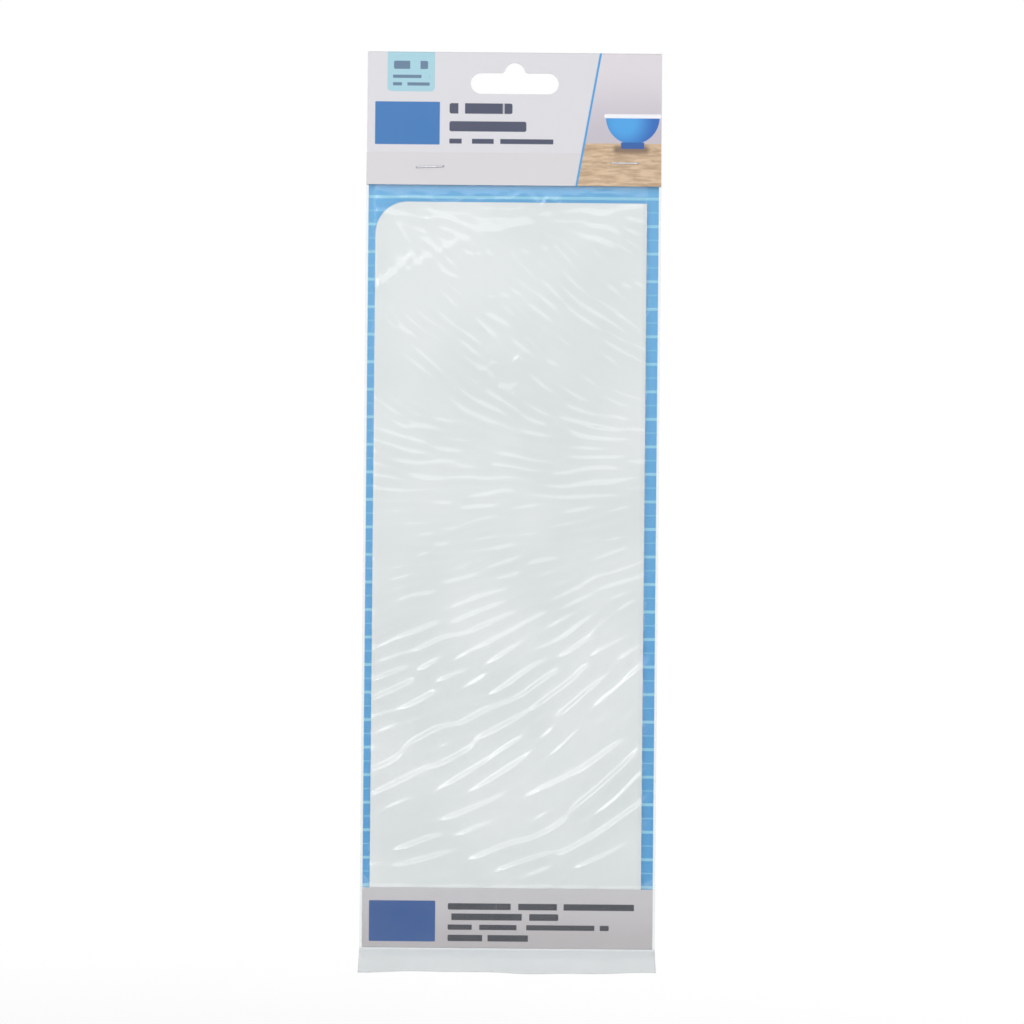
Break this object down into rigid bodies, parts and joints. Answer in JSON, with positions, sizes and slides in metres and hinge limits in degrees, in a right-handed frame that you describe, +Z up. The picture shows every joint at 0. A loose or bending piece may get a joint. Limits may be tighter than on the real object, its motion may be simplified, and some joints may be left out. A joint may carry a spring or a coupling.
{
  "type": "icing smoother",
  "caption": "Tall flat icing smoother with rounded corners along one side, held in a clear film hang pack with a blue insert card and a stapled header card with a euro slot.",
  "frame": {"origin": "top of the hang slot's hump, in the middle of the pack's width and of the insert card's thickness, where a display hook carries the pack", "axes": "+X across the pack to the right seen from the front, -Y out of the printed front, +Z up along the pack as it hangs"},
  "size_m": [0.1024, 0.004, 0.3159],
  "materials": {
    "scraper_plastic": "satin moulded white plastic",
    "insert_board": "coated board, printed blue with pale rules",
    "header_board": "coated board, printed pale grey",
    "staple_wire": "bright galvanised wire",
    "bag_film": "clear glossy film"
  },
  "bodies": {
    "pack": {"insert_card": "insert_board", "header_card": "header_board", "staple_left": "staple_wire", "staple_right": "staple_wire", "bag_front_film": "bag_film", "bag_rear_film": "bag_film"},
    "smoother": {"scraper_blade": "scraper_plastic"}
  },
  "joints": [
    {"name": "smoother_slide", "type": "slide", "parent": "pack", "child": "smoother", "axis": [0, 0, 1], "range_m": [-0.005, 0.005]}
  ]
}
